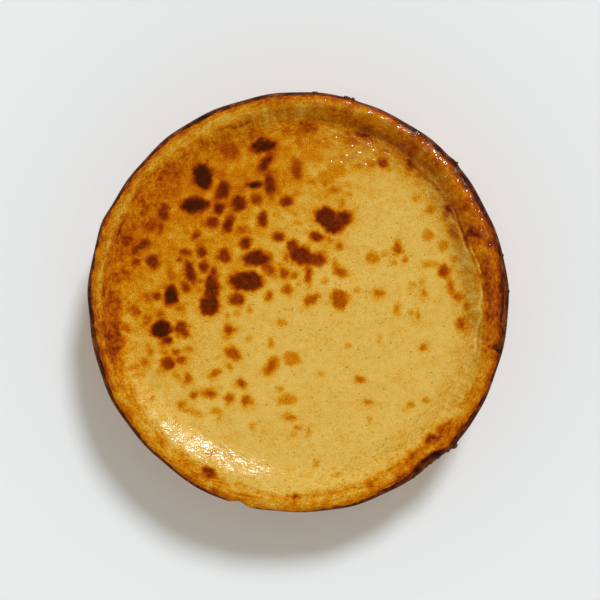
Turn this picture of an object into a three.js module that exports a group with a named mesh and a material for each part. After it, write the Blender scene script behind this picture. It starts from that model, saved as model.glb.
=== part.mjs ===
// A whole baked cheesecake, turned out of its tin: one solid with a sunken
// top, an uneven raised rim and a browned side. Millimetres, +Z up, the
// origin at the middle of the base. Angles are degrees anticlockwise from
// +X, seen from above.

import * as THREE from "three";
import { mergeVertices } from "three/addons/utils/BufferGeometryUtils.js";

// The driving sizes.
const CAKE_RADIUS = 114.3; // half of a 9 inch tin
const BASE_BEVEL = 3.6; // how far the rounded lower edge draws in
const FLOOR_HEIGHT = 42; // the sunken middle of the top
const FLOOR_SWELL = 0.5; // the floor's slow unevenness
const BROW_DROP = 0.9; // the rim's inner brow lies this far below its crest
const SHOULDER_DROP = 1.6; // and its outer shoulder this far
const SHOULDER_INSET = 1.3; // the shoulder stands in from the side
const SHOULDER_POWER = 2.5; // and the fall to it is a curve of this power

// The rim, station by station: where its crest runs and how high that is,
// where its inner face starts to fall (brow) and where the fall ends (foot).
// Lean is how late the face climbs: above 1 it is hollow, and the rim stands
// over it like a rolled lip.
const RIM = [
  { at: 0, crest: 107.6, high: 50.0, brow: 100.8, foot: 87.0, lean: 1.5 },
  { at: 8, crest: 107.2, high: 50.5, brow: 100.2, foot: 85.0, lean: 1.4 },
  { at: 18, crest: 106.8, high: 51.0, brow: 100.2, foot: 83.5, lean: 1.4 },
  { at: 30, crest: 106.8, high: 51.6, brow: 102.8, foot: 83.0, lean: 1.9 },
  { at: 48, crest: 107.4, high: 52.0, brow: 106.4, foot: 83.5, lean: 2.9 },
  { at: 68, crest: 108.8, high: 52.0, brow: 107.2, foot: 88.0, lean: 3.4 },
  { at: 92, crest: 109.4, high: 51.2, brow: 107.2, foot: 91.0, lean: 2.2 },
  { at: 114, crest: 109.0, high: 50.2, brow: 106.0, foot: 90.0, lean: 1.2 },
  { at: 138, crest: 108.5, high: 49.6, brow: 105.5, foot: 88.0, lean: 1.0 },
  { at: 160, crest: 108.5, high: 49.3, brow: 106.0, foot: 90.0, lean: 1.0 },
  { at: 180, crest: 109.0, high: 49.0, brow: 106.5, foot: 91.0, lean: 1.0 },
  { at: 205, crest: 108.5, high: 48.8, brow: 106.0, foot: 92.0, lean: 1.0 },
  { at: 228, crest: 108.5, high: 48.4, brow: 105.0, foot: 88.0, lean: 1.0 },
  { at: 250, crest: 109.0, high: 47.0, brow: 105.5, foot: 84.5, lean: 1.0 },
  { at: 272, crest: 109.0, high: 45.6, brow: 106.5, foot: 90.0, lean: 1.0 },
  { at: 292, crest: 109.0, high: 46.0, brow: 106.4, foot: 96.0, lean: 1.0 },
  { at: 312, crest: 108.6, high: 47.2, brow: 106.4, foot: 98.0, lean: 1.0 },
  { at: 335, crest: 108.6, high: 48.8, brow: 105.5, foot: 98.0, lean: 1.0 },
  { at: 348, crest: 108.2, high: 49.6, brow: 104.6, foot: 98.6, lean: 1.2 },
];

// At the upper right the rim's face is hollowed out under the brow: the
// middle of the hollow, its spread in degrees, how far inside the brow it
// lies, and its half width and depth.
const HOLLOW = { at: 48, spread: 34, inside: 3.2, width: 3, depth: 3.8 };

// There the crest is a round roll, which falls further to its shoulder.
const ROLL = { at: 52, spread: 36, drop: 2 };

// Creases that run along the rim, where the middle sank and the skin
// folded or tore: the arc each one spans, its radius at both ends, its
// depth and its half width.
const CREASES = [
  { from: 72, to: 98, start: 98.6, end: 100.0, depth: 0.6, width: 1.4 },
  { from: 60, to: 88, start: 95.0, end: 96.0, depth: 0.5, width: 1.4 },
  { from: 38, to: 54, start: 98.6, end: 98.4, depth: 0.5, width: 1.2 },
  { from: 16, to: 34, start: 97.6, end: 97.2, depth: 0.5, width: 1.2 },
  { from: -12, to: 8, start: 102.7, end: 102.8, depth: 0.5, width: 1.2 },
  { from: 104, to: 117, start: 103.0, end: 104.4, depth: 0.5, width: 1.2 },
  { from: 153, to: 165, start: 105.0, end: 104.8, depth: 0.5, width: 1.2 },
  { from: 290, to: 305, start: 103.2, end: 104.0, depth: 0.5, width: 1.2 },
  { from: 249, to: 258, start: 109.6, end: 109.4, depth: 0.5, width: 1.2 },
  { from: 18, to: 64, start: 111.8, end: 111.8, depth: 0.9, width: 1.1 },
  { from: 300, to: 317, start: 112.0, end: 111.4, depth: 1.6, width: 1.2 },
];

// Places where the outline leaves its circle: lumps of baked-on batter
// stand out, and a chip of the edge is missing.
const EDGE_LUMPS = [
  { at: 42, spread: 1.6, out: 0.8 },
  { at: 76, spread: 1.8, out: 0.7 },
  { at: 150, spread: 12, out: 0.3 },
  { at: 157, spread: 4, out: 0.9 },
  { at: 176, spread: 6, out: 0.5 },
  { at: 196, spread: 6, out: -0.2 },
  { at: 245, spread: 5, out: 0.6 },
  { at: 253.5, spread: 1.7, out: -1.9 },
  { at: 260, spread: 4, out: 0.5 },
  { at: 290, spread: 60, out: 0.5 },
  { at: 317, spread: 1.7, out: 1.0 },
  { at: 323, spread: 5, out: 0.6 },
];

// All round it, the outline wavers a little too.
const RIPPLES = [
  { waves: 9, out: 0.28, start: 40 },
  { waves: 23, out: 0.2, start: 0 },
];

// The stretch where the shoulder has slumped and shows the side's dark skin.
const BARE_SKIN = { at: 309, spread: 6, drop: 1.6 };

// The mesh: rings from the middle of the top, over the rim and down the
// side to the middle of the base.
const RIM_SECTORS = 160;
const PLAIN_RADIUS = 82; // inside it the floor needs only wide triangles
const PLAIN_RINGS = 11;
const PLAIN_SHARE = 0.6; // and this share of the rim's sectors
const FEWEST_SECTORS = 8;
const SLOPE_RINGS = 20; // from there to the brow of the rim
const CREST_RINGS = 5; // and from the brow to the shoulder
const BASE_RINGS = [0.55, 0.15]; // shares of the base's radius

// Below the shoulder, each ring's share of the side's height and its inset.
const SIDE_RINGS = [
  { share: 0.97, inset: 0.5 },
  { share: 0.92, inset: 0.1 },
  { share: 0.7, inset: 0 },
  { share: 0.4, inset: 0.5 },
  { share: 0.14, inset: 0.5 },
  { share: 0.04, inset: 1.3 },
  { share: 0, inset: BASE_BEVEL },
];

const FULL_TURN = 360;
const HALF_TURN = 180;
const { clamp, degToRad, euclideanModulo, lerp, smoothstep } = THREE.MathUtils;

// The shorter way round from one angle to another, in degrees.
function turn(from, to) {
  return euclideanModulo(to - from + HALF_TURN, FULL_TURN) - HALF_TURN;
}

// A smooth hump of height 1 at distance 0, with the given half width.
function hump(distance, spread) {
  return Math.exp(-((distance / spread) ** 2));
}

// The rim at an angle, blended between its two nearest stations.
function rimAt(angle) {
  const bearing = euclideanModulo(angle, FULL_TURN);
  const next = RIM.findIndex((station) => station.at > bearing);
  const after = RIM[next < 0 ? 0 : next];
  const before = RIM[(next < 0 ? RIM.length : next) - 1];
  const gap = euclideanModulo(after.at - before.at, FULL_TURN);
  const share = smoothstep((bearing - before.at) / gap, 0, 1);
  const blend = (key) => lerp(before[key], after[key], share);
  return {
    crest: blend("crest"),
    high: blend("high"),
    brow: blend("brow"),
    foot: blend("foot"),
    lean: blend("lean"),
  };
}

// How far the outline stands out of its circle at an angle.
function lumpAt(angle) {
  const ripple = RIPPLES.reduce(
    (sum, { waves, out, start }) => sum + out * Math.sin(degToRad(waves * angle + start)),
    0,
  );
  return EDGE_LUMPS.reduce(
    (sum, lump) => sum + lump.out * hump(turn(lump.at, angle), lump.spread),
    ripple,
  );
}

function shoulderRadius(angle) {
  return CAKE_RADIUS - SHOULDER_INSET + lumpAt(angle);
}

function shoulderDrop(angle) {
  const rolled = ROLL.drop * hump(turn(ROLL.at, angle), ROLL.spread);
  const slumped = BARE_SKIN.drop * hump(turn(BARE_SKIN.at, angle), BARE_SKIN.spread);
  return SHOULDER_DROP + rolled + slumped;
}

// How deep the creases cut at a point of the top.
function creaseDepth(radius, angle) {
  let depth = 0;
  for (const crease of CREASES) {
    const middle = (crease.from + crease.to) / 2;
    const halfSpan = (crease.to - crease.from) / 2;
    const along = turn(middle, angle) / halfSpan;
    if (Math.abs(along) >= 1) continue;
    const line = lerp(crease.start, crease.end, (along + 1) / 2);
    depth += crease.depth * (1 - along ** 2) * hump(radius - line, crease.width);
  }
  return depth;
}

// The sunken floor isn't quite level.
function floorHeight(radius, angle) {
  const x = radius * Math.cos(degToRad(angle));
  const y = radius * Math.sin(degToRad(angle));
  const slow = Math.sin(x / 31 + 0.7) * Math.cos(y / 37 - 0.4);
  const quick = Math.sin(x / 13 - y / 17) * Math.cos(y / 11 + x / 23);
  return FLOOR_HEIGHT + FLOOR_SWELL * (slow + 0.35 * quick);
}

function hollowDepth(radius, angle, brow) {
  const across = hump(radius - brow + HOLLOW.inside, HOLLOW.width);
  return HOLLOW.depth * hump(turn(HOLLOW.at, angle), HOLLOW.spread) * across;
}

// The top's height: the floor, the inner face, the crest and its fall to
// the shoulder.
function topHeight(radius, angle) {
  const rim = rimAt(angle);
  const reach = clamp((radius - rim.foot) / (rim.brow - rim.foot), 0, 1);
  const climb = smoothstep(reach ** rim.lean, 0, 1);
  const crown = smoothstep(radius, rim.brow, rim.crest);
  const beyond = Math.max(0, radius - rim.crest) / (shoulderRadius(angle) - rim.crest);
  const inner = lerp(floorHeight(radius, angle), rim.high - BROW_DROP, climb);
  const cut = hollowDepth(radius, angle, rim.brow) + creaseDepth(radius, angle);
  return inner + BROW_DROP * crown - shoulderDrop(angle) * beyond ** SHOULDER_POWER - cut;
}

// One ring of points, from a function that gives the radius and height at
// an angle.
function ring(sectors, place) {
  return Array.from({ length: sectors }, (_, i) => {
    const angle = (FULL_TURN * i) / sectors;
    const { radius, height } = place(angle);
    return new THREE.Vector3(
      radius * Math.cos(degToRad(angle)),
      radius * Math.sin(degToRad(angle)),
      height,
    );
  });
}

// A ring of the top, a share of the way between two radii that may change
// with the angle.
function topRing(sectors, inner, outer, share) {
  return ring(sectors, (angle) => {
    const radius = lerp(inner(angle), outer(angle), share);
    return { radius, height: topHeight(radius, angle) };
  });
}

// The top's rings: wide ones on the plain floor, then close ones up the
// inner face and over the crest.
function topRings() {
  const rings = [[new THREE.Vector3(0, 0, topHeight(0, 0))]];
  const middle = () => 0;
  const plain = () => PLAIN_RADIUS;
  for (let i = 1; i <= PLAIN_RINGS; i++) {
    const share = i / PLAIN_RINGS;
    const sectors = Math.max(FEWEST_SECTORS, Math.round(share * RIM_SECTORS * PLAIN_SHARE));
    rings.push(topRing(sectors, middle, plain, share));
  }
  const brow = (angle) => rimAt(angle).brow;
  for (let i = 1; i <= SLOPE_RINGS; i++) {
    rings.push(topRing(RIM_SECTORS, plain, brow, i / SLOPE_RINGS));
  }
  for (let i = 1; i <= CREST_RINGS; i++) {
    rings.push(topRing(RIM_SECTORS, brow, shoulderRadius, i / CREST_RINGS));
  }
  return rings;
}

// The side's rings follow the outline's lumps at the top and lose them
// towards the base.
function sideRings() {
  return SIDE_RINGS.map(({ share, inset }) =>
    ring(RIM_SECTORS, (angle) => ({
      radius: CAKE_RADIUS - inset + lumpAt(angle) * smoothstep(share, 0.4, 0.95),
      height: share * topHeight(shoulderRadius(angle), angle),
    })),
  );
}

function baseRings() {
  const rings = BASE_RINGS.map((share) =>
    ring(Math.round(RIM_SECTORS * share), () => ({
      radius: share * (CAKE_RADIUS - BASE_BEVEL),
      height: 0,
    })),
  );
  return [...rings, [new THREE.Vector3(0, 0, 0)]];
}

// Fills the band between two rings with triangles, stepping along
// whichever ring is behind. The first ring lies inside or above.
function band(first, second) {
  const triangles = [];
  const firstSteps = first.length === 1 ? 0 : first.length;
  const secondSteps = second.length === 1 ? 0 : second.length;
  let i = 0;
  let j = 0;
  while (i < firstSteps || j < secondSteps) {
    const firstIsBehind = (i + 1) / first.length <= (j + 1) / second.length;
    const here = [first[i % first.length], second[j % second.length]];
    if (j >= secondSteps || (i < firstSteps && firstIsBehind)) {
      i++;
      triangles.push(...here, first[i % first.length]);
    } else {
      j++;
      triangles.push(...here, second[j % second.length]);
    }
  }
  return triangles;
}

function cakeGeometry() {
  const rings = [...topRings(), ...sideRings(), ...baseRings()];
  const corners = rings.slice(1).flatMap((next, i) => band(rings[i], next));
  const geometry = mergeVertices(new THREE.BufferGeometry().setFromPoints(corners), 1e-3);
  geometry.computeVertexNormals();
  return geometry;
}

function bakedSkin() {
  return new THREE.MeshStandardMaterial({
    color: new THREE.Color(0.55, 0.27, 0.05),
    roughness: 0.4,
    metalness: 0,
  });
}

const cheesecake = new THREE.Mesh(cakeGeometry(), bakedSkin());
cheesecake.name = "cheesecake";

const whole = new THREE.Group();
whole.add(cheesecake);

export default whole;
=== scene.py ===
"""A whole baked cheesecake on a pale studio floor, seen from straight above."""
import math
import random

import bmesh
import bpy
import numpy as np
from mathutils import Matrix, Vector, noise


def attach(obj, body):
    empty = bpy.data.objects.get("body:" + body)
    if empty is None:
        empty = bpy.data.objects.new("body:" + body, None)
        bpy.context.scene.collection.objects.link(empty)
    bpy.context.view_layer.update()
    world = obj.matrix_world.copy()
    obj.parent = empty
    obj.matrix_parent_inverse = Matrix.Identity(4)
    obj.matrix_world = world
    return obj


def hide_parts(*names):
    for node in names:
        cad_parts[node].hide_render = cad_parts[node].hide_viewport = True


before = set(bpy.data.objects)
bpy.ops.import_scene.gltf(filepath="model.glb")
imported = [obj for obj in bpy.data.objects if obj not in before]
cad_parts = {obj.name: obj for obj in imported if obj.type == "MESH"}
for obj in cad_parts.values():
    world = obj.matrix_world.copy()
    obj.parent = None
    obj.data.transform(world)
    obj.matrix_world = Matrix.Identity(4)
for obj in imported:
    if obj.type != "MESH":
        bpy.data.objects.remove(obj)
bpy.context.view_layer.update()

# The cake: baked cheese custard, poured into a round tin and turned out when
# cold. Its middle sank as it cooled, and the browned skin of the rim stayed
# up round it, folded, torn and blistered. All its sizes are millimetres.
MM = 0.001
CAKE_RADIUS = 114.3
BASE_BEVEL = 3.6
FLOOR_HEIGHT = 42.0
FLOOR_SWELL = 0.5
BROW_DROP = 0.9
CORNER_DROP = 4.2
CORNER_POWER = 0.9
WAIST = 0.5
BEVEL_HEIGHT = 5.5
BEVEL_POWER = 2.2
TRUE_CIRCLE_BELOW = 0.3

# The rim by compass angle: where its crest runs and how high, and where its
# inner face starts to fall (brow) and ends (foot). Lean is how late it climbs:
# above 1 it is hollow, so that the rim stands over it like a rolled lip.
RIM_ANGLE = [0, 8, 18, 30, 48, 68, 92, 114, 138, 160, 180, 205, 228, 250, 272, 292, 312, 335, 348]
RIM = {
    "crest": [107.6, 107.2, 106.8, 106.8, 107.4, 108.8, 109.4, 109.0, 108.5, 108.5,
              109.0, 108.5, 108.5, 109.0, 109.0, 109.0, 108.6, 108.6, 108.2],
    "high": [50.0, 50.5, 51.0, 51.6, 52.0, 52.0, 51.2, 50.2, 49.6, 49.3,
             49.0, 48.8, 48.4, 47.0, 45.6, 46.0, 47.2, 48.8, 49.6],
    "brow": [100.8, 100.2, 100.2, 102.8, 106.4, 107.2, 107.2, 106.0, 105.5, 106.0,
             106.5, 106.0, 105.0, 105.5, 106.5, 106.4, 106.4, 105.5, 104.6],
    "foot": [87.0, 85.0, 83.5, 83.0, 83.5, 88.0, 91.0, 90.0, 88.0, 90.0,
             91.0, 92.0, 88.0, 84.5, 90.0, 96.0, 98.0, 98.0, 98.6],
    "lean": [1.5, 1.4, 1.4, 1.9, 2.9, 3.4, 2.2, 1.2, 1.0, 1.0,
             1.0, 1.0, 1.0, 1.0, 1.0, 1.0, 1.0, 1.0, 1.2],
}

# Where the outline leaves its circle: waves by how far, how many times round
# and where they start, and lumps by angle, spread in degrees and how far out.
EDGE_OUT = 0.45
EDGE_WAVES = [(0.28, 9, 40), (0.2, 23, 0)]
EDGE_LUMPS = [
    (42, 1.6, 0.8), (76, 1.8, 0.7), (150, 12.0, 0.3), (157, 4.0, 0.9), (176, 6.0, 0.5),
    (196, 6.0, -0.2), (245, 5.0, 0.6), (253.5, 1.7, -1.9), (260, 4.0, 0.5), (290, 60.0, 0.5),
    (317, 1.7, 1.0), (323, 5.0, 0.6),
]

# At the lower right the skin has torn off the corner: middle, spread, how far
# the corner has dropped there, and how far down the side the tear reaches.
BARE_AT, BARE_SPREAD, BARE_DROP, BARE_DOWN = 309, 6.0, 1.6, 12

# At the upper right the crest is a round roll: its middle, its spread in
# degrees, and how much further it falls to the side than elsewhere.
ROLL_AT, ROLL_SPREAD, ROLL_DROP = 52, 36, 3.0

# There the crest also stands over a hollow: its middle, its spread in degrees,
# how far inside the brow it lies, and its width and depth.
HOLLOW_AT, HOLLOW_SPREAD, HOLLOW_INSIDE, HOLLOW_WIDE, HOLLOW_DEEP = 48, 34, 3.2, 3.0, 3.8


def smooth(value, low, high):
    share = np.clip((value - low) / (high - low), 0.0, 1.0)
    return share * share * (3.0 - 2.0 * share)


def blend(first, second, share):
    return first + (second - first) * share


def hump(distance, spread):
    return np.exp(-((distance / spread) ** 2))


def turn(start, angle):
    """The shorter way round from one angle to another, in degrees."""
    return (angle - start + 180.0) % 360.0 - 180.0


def by_angle(angle, stations, values):
    """Values given at stations round the cake, blended smoothly between them."""
    stations = np.array(stations, float)
    values = np.array(values, float)
    before = np.searchsorted(stations, angle % 360.0, side="right") - 1
    after = (before + 1) % len(stations)
    gap = (stations[after] - stations[before]) % 360.0
    share = smooth(((angle - stations[before]) % 360.0) / gap, 0.0, 1.0)
    return blend(values[before], values[after], share)


def rim_at(angle, key):
    return by_angle(angle, RIM_ANGLE, RIM[key])


def lumps(points, size, seed):
    """Smooth noise from about -1 to 1 at each point, with lumps of that size."""
    shift = Vector((seed * 17.3, seed * 5.1, seed * 9.7))
    return np.array([noise.noise(Vector(point) / size + shift) for point in points])


def edge_radius(angle):
    """Where the outline runs: nearly a circle, with waves and some lumps."""
    radius = CAKE_RADIUS + EDGE_OUT
    for out, times, start in EDGE_WAVES:
        radius = radius + out * np.sin(np.radians(times * angle + start))
    for at, spread, out in EDGE_LUMPS:
        radius = radius + out * hump(turn(at, angle), spread)
    return radius


def floor_height(radius, angle):
    """The sunken floor: nearly level, with low waves about 200 and 80 mm long."""
    x = radius * np.cos(np.radians(angle))
    y = radius * np.sin(np.radians(angle))
    slow = np.sin(x / 31 + 0.7) * np.cos(y / 37 - 0.4)
    quick = np.sin(x / 13 - y / 17) * np.cos(y / 11 + x / 23)
    return FLOOR_HEIGHT + FLOOR_SWELL * (slow + 0.35 * quick)


def top_height(radius, angle):
    """The height of the top inside the crest: floor, inner face, brow."""
    brow, crest = rim_at(angle, "brow"), rim_at(angle, "crest")
    foot = rim_at(angle, "foot")
    share = np.clip((radius - foot) / (brow - foot), 0.0, 1.0)
    climb = smooth(share ** rim_at(angle, "lean"), 0.0, 1.0)
    inner = blend(floor_height(radius, angle), rim_at(angle, "high") - BROW_DROP, climb)
    hollow = hump(radius - brow + HOLLOW_INSIDE, HOLLOW_WIDE) * hump(turn(HOLLOW_AT, angle), HOLLOW_SPREAD)
    return inner + BROW_DROP * smooth(radius, brow, crest) - HOLLOW_DEEP * hollow


def corner(angle, share):
    """Radius and height from the crest (share 0) over to the upright side (1)."""
    swing = share * math.pi / 2
    out = math.sin(swing) ** CORNER_POWER
    down = 1 - math.cos(swing) ** CORNER_POWER
    drop = CORNER_DROP + BARE_DROP * hump(turn(BARE_AT, angle), BARE_SPREAD)
    drop = drop + ROLL_DROP * hump(turn(ROLL_AT, angle), ROLL_SPREAD)
    crest = rim_at(angle, "crest")
    return crest + (edge_radius(angle) - crest) * out, rim_at(angle, "high") - drop * down


def side(angle, share):
    """Radius and height down the side, from its upper end (share 1) to the base (0)."""
    top = corner(angle, 1.0)[1]
    height = share * top
    belly = WAIST * np.sin(np.pi * np.clip(share, 0, 1))
    tuck = BASE_BEVEL * (1 - np.clip(height / BEVEL_HEIGHT, 0, 1)) ** BEVEL_POWER
    outline = blend(CAKE_RADIUS, edge_radius(angle), smooth(share, TRUE_CIRCLE_BELOW, 1.0))
    return outline - belly - tuck, height


def ring_band(first, first_count, second, second_count):
    """Triangles between two rings of points. The first lies inside or above."""
    ends = [(np.arange(count) + 1) / count for count in (first_count, second_count)]
    if first_count == 1:
        ends[0] = ends[0][:0]
    if second_count == 1:
        ends[1] = ends[1][:0]
    order = np.argsort(np.concatenate(ends), kind="stable")
    on_first = (order < len(ends[0])).astype(int)
    i = np.cumsum(on_first) - on_first
    j = np.cumsum(1 - on_first) - (1 - on_first)
    here = [first + i % first_count, second + j % second_count]
    onward = np.where(on_first, first + (i + 1) % first_count, second + (j + 1) % second_count)
    return np.stack([*here, onward], axis=1)


# The mesh: how closely its points lie on the floor, up the inner face, over
# the corner and down the side.
FLOOR_EDGE = 84.0
FLOOR_RINGS = 90
SLOPE_RINGS = 52
CORNER_RINGS = 12
SIDE_RINGS = 17
BASE_RINGS = [0.9, 0.7, 0.4]
RIM_SECTORS = 820

rings = []


def add_ring(count, place, zone):
    angle = 360.0 * np.arange(count) / count
    radius, height = place(angle)
    rings.append({"angle": angle, "radius": radius + 0 * angle, "height": height + 0 * angle, "zone": zone})


add_ring(1, lambda angle: (0 * angle, top_height(0 * angle, angle)), "top")
for step in range(1, FLOOR_RINGS + 1):
    reach = FLOOR_EDGE * step / FLOOR_RINGS
    count = max(8, round(2 * math.pi * step))
    add_ring(count, lambda angle: (reach + 0 * angle, top_height(reach + 0 * angle, angle)), "top")
for step in range(1, SLOPE_RINGS + 1):
    def slope_place(angle):
        reach = blend(FLOOR_EDGE, rim_at(angle, "crest"), step / SLOPE_RINGS)
        return reach, top_height(reach, angle)
    add_ring(RIM_SECTORS, slope_place, "top")
for step in range(1, CORNER_RINGS + 1):
    add_ring(RIM_SECTORS, lambda angle: corner(angle, step / CORNER_RINGS), "corner")
for step in range(1, SIDE_RINGS + 1):
    add_ring(RIM_SECTORS, lambda angle: side(angle, 1 - step / SIDE_RINGS), "side")
for share in BASE_RINGS:
    count = round(RIM_SECTORS * share)
    add_ring(count, lambda angle: (share * (CAKE_RADIUS - BASE_BEVEL), 0 * angle), "base")
add_ring(1, lambda angle: (0 * angle, 0 * angle), "base")

faces = []
start = 0
for inner, outer in zip(rings, rings[1:]):
    here, there = len(inner["angle"]), len(outer["angle"])
    faces.append(ring_band(start, here, start + here, there))
    start += here
faces = np.concatenate(faces)
angle = np.concatenate([ring["angle"] for ring in rings])
radius = np.concatenate([ring["radius"] for ring in rings])
height = np.concatenate([ring["height"] for ring in rings])
zone = np.concatenate([[ring["zone"]] * len(ring["angle"]) for ring in rings])
along_x, along_y = np.cos(np.radians(angle)), np.sin(np.radians(angle))
x, y = radius * along_x, radius * along_y
flat = np.stack([x, y, 0 * x], axis=1)
on_corner = zone == "corner"
on_top = (zone == "top") | on_corner
on_side = zone == "side"
foot, brow = rim_at(angle, "foot"), rim_at(angle, "brow")
edge = edge_radius(angle)


def streaks(long, wide, seed):
    """Noise drawn out along the rim: streaks of a length and a width."""
    across = (radius - height) / wide
    stretched = np.stack([CAKE_RADIUS / long * along_x, CAKE_RADIUS / long * along_y, across], axis=1)
    return lumps(stretched, 1.0, seed)


def rim_spot(at, spread, out, reach):
    """1 at an angle and a radius, fading round the rim and across it."""
    return hump(turn(at, angle), spread) * hump(radius - out, reach)


# Fine relief. Lumps: size, and how high on the floor and on the rim. Streaks
# along the rim: length, width, and how high on the rim and more so at the top,
# where the skin is wrinkled. The last number of each is the noise's seed.
LUMPS = [(9.0, 0.06, 0.26, 1), (3.2, 0.03, 0.12, 2)]
STREAKS = [(8.0, 2.0, 0.14, 0.24, 3), (4.0, 1.2, 0.06, 0.2, 4)]
WRINKLED = (80, 22, 99.5, 6.5)
CRINKLED = (38, 40, 95, 8)
rim_zone = smooth(radius, foot - 5, brow)
relief = np.zeros_like(x)
for size, on_floor, on_rim, seed in LUMPS:
    relief += blend(on_floor, on_rim, rim_zone) * lumps(flat, size, seed)
for long, wide, on_rim, at_top, seed in STREAKS:
    relief += (on_rim * rim_zone + at_top * rim_spot(*WRINKLED)) * streaks(long, wide, seed)
crinkles = 0.16 * streaks(3.0, 1.3, 44) + 0.12 * lumps(flat, 1.7, 45)
relief += crinkles * rim_spot(*CRINKLED)

# Where the top is wet with fat and shines: how wet, then angle, spread, radius
# and reach. Three lie at the lower left, and four on the crest and the inner
# face from the right round to the top. The slipped skin at the top is wet over
# an oval.
WET_SPOTS = [
    (0.7, 229, 13, 98.5, 5), (1.2, 246, 14, 92.3, 6.2), (0.42, 209, 8, 98, 5),
    (0.8, 50, 32, 110.2, 3.6), (0.55, 22, 9, 107, 4.0), (0.62, 84, 18, 109.4, 2.8),
    (0.32, 42, 20, 105, 3.5),
]
SLIPPED_WET = 0.72
SLIPPED_X, SLIPPED_Y, SLIPPED_REACH, SLIPPED_FLAT = 33, 81, 25, 1.8
slipped = hump(np.hypot(x - SLIPPED_X, (y - SLIPPED_Y) * SLIPPED_FLAT), SLIPPED_REACH)
wet = SLIPPED_WET * slipped
for how_wet, *spot in WET_SPOTS:
    wet = np.maximum(wet, how_wet * rim_spot(*spot))
wet = wet * smooth(0.5 * lumps(flat, 7.0, 30) + 0.5 * lumps(flat, 2.5, 31), -0.6, 0.1)
wet_relief = 0.1 * streaks(3.2, 1.3, 32) + 0.06 * lumps(flat, 2.0, 33) + 0.3 * lumps(flat, 5.0, 42)
relief += np.clip(wet, 0, 1) * wet_relief

# Blisters, where steam lifted the skin: place, width, height, tilt, rise.
# They are domes, and the two that have sunk again are dents.
BLISTER_DOME = 1.3
BLISTERS = [
    (-48.5, -92.8, 7.5, 5.0, -35, -0.9),
    (-1.2, -106.4, 2.6, 2.2, 0, -0.5),
    (79.3, -68.9, 6.5, 4.5, 35, 0.7),
    (72.8, -74.8, 7.0, 4.5, 30, 0.9),
    (62.5, -83.0, 6.0, 3.0, 35, 0.5),
    (50.4, -90.4, 6.0, 3.0, 20, 0.5),
    (5.3, 95.4, 8.0, 4.5, 0, 0.8),
    (91.6, 52.1, 5.0, 5.0, 0, 0.5),
    (99.1, 37.2, 4.5, 3.5, 60, 0.6),
    (46.8, 76.9, 5.0, 5.5, 0, 0.35),
]


def oval(place_x, place_y, wide, tall, tilt):
    """Distance from an oval's middle, 1 at its edge."""
    tilt = math.radians(tilt)
    along = (x - place_x) * math.cos(tilt) + (y - place_y) * math.sin(tilt)
    across = (y - place_y) * math.cos(tilt) - (x - place_x) * math.sin(tilt)
    return np.hypot(along / (wide / 2), across / (tall / 2))


for place_x, place_y, wide, tall, tilt, rise in BLISTERS:
    relief += rise * np.clip(1 - oval(place_x, place_y, wide, tall, tilt) ** 2, 0, 1) ** BLISTER_DOME

# Folds in the skin of the top: start, end, rise as a share of the fold height,
# and width. Those that are below 0 are creases.
FOLD_HEIGHT = 1.25
FOLDS = [
    (46.3, 82.7, 55.1, 76.9, 0.45, 0.8),
    (23.4, 79.8, 27.2, 80.6, 0.4, 0.8),
    (22.2, 89.2, 25.4, 88.0, 0.45, 0.9),
    (20.9, 76.9, 27.6, 73.1, 0.3, 0.9),
    (29.3, 76.9, 38.8, 74.4, 0.3, 0.9),
    (38.8, 74.4, 45.0, 73.7, 0.3, 0.9),
    (17.0, 79.4, 20.6, 79.2, 0.4, 1.0),
    (22.6, 94.8, 28.0, 93.0, 0.35, 0.9),
    (59.6, 77.5, 62.4, 73.0, -0.7, 0.8),
    (78.7, 56.7, 84.0, 54.0, -0.6, 0.9),
    (31.0, 93.6, 38.4, 92.0, -0.6, 0.9),
]

# Lines drawn on the skin waver, because each point's place is shaken a little.
shaky_x = x + 0.9 * lumps(flat, 5.0, 38) + 0.4 * lumps(flat, 1.8, 39)
shaky_y = y + 0.9 * lumps(flat, 5.0, 40) + 0.4 * lumps(flat, 1.8, 41)


def line_mark(start_x, start_y, end_x, end_y, width):
    """1 at the middle of a wavering line, 0.4 at its ends, fading to both sides."""
    run_x, run_y = end_x - start_x, end_y - start_y
    off_x, off_y = shaky_x - start_x, shaky_y - start_y
    share = np.clip((off_x * run_x + off_y * run_y) / (run_x**2 + run_y**2), 0, 1)
    gap = np.hypot(off_x - share * run_x, off_y - share * run_y)
    return hump(gap, width) * (1 - 0.6 * (2 * share - 1) ** 2)


for start_x, start_y, end_x, end_y, rise, width in FOLDS:
    relief += FOLD_HEIGHT * rise * line_mark(start_x, start_y, end_x, end_y, width)

# The skin that slipped down at the top is full of short folds, and the inner
# face above it of short wrinkles, some raised and some sunk. All run roughly
# along the rim.
SLIPPED_FOLDS, SLIPPED_RISE = 18, 0.45
WRINKLES, WRINKLE_RISES = 95, [0.3, -0.35, -0.5]
WRINKLE_WIDE = 0.75


def short_fold(middle_x, middle_y, slant, long):
    """A short fold about a middle, with its slant in radians."""
    half_x, half_y = long / 2 * math.cos(slant), long / 2 * math.sin(slant)
    start = (middle_x - half_x, middle_y - half_y)
    end = (middle_x + half_x, middle_y + half_y)
    return line_mark(*start, *end, WRINKLE_WIDE)


random.seed(5)
for _ in range(SLIPPED_FOLDS):
    middle_x, middle_y = random.gauss(33, 12), random.gauss(82, 5)
    slant = math.atan2(middle_y, middle_x) + math.pi / 2 + random.gauss(0, 0.4)
    relief += SLIPPED_RISE * short_fold(middle_x, middle_y, slant, random.uniform(2.0, 4.5))
for _ in range(WRINKLES):
    way = math.radians(random.gauss(82, 15))
    out = random.gauss(99, 4.2)
    long = random.uniform(2.0, 6.5)
    slant = way + math.pi / 2 + random.gauss(0, 0.22)
    wrinkle = short_fold(out * math.cos(way), out * math.sin(way), slant, long)
    relief += random.choice(WRINKLE_RISES) * wrinkle


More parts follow.
